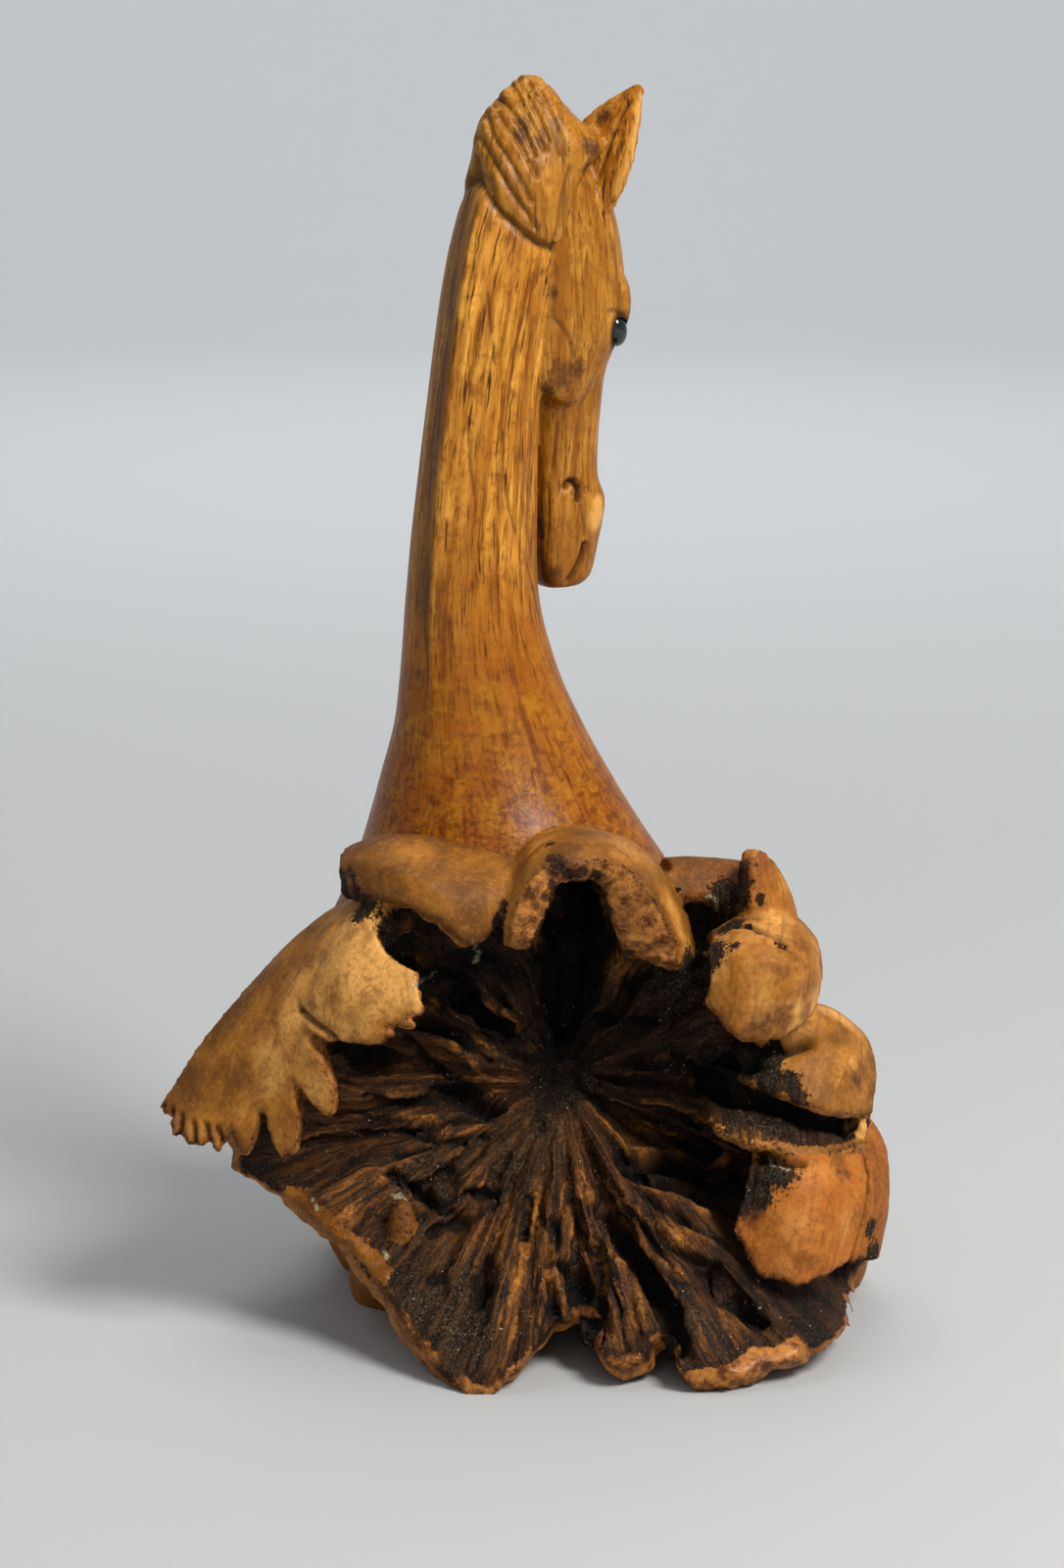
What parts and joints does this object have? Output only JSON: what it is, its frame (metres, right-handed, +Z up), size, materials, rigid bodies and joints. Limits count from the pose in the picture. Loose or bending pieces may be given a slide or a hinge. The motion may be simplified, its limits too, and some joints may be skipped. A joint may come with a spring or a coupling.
{
  "type": "carved wooden horse figure",
  "caption": "Horse's head on a long arched neck, carved from one piece of burl wood whose hollow, lobed burl is its foot, with inlaid dark eyes.",
  "frame": {"origin": "middle of the figure's footprint on the surface that it stands on", "axes": "+Z up, from the foot to the top of the mane; -Y is the side that the burl's hollow opens to; the horse looks towards +X and +Y, 35 degrees from +X"},
  "size_m": [0.1072, 0.086, 0.1776],
  "materials": {
    "carved_wood": "satin",
    "eye": "gloss"
  },
  "bodies": {
    "root": {"horse_burl_carving": "carved_wood", "eye_bead_right": "eye", "eye_bead_left": "eye"}
  },
  "joints": []
}
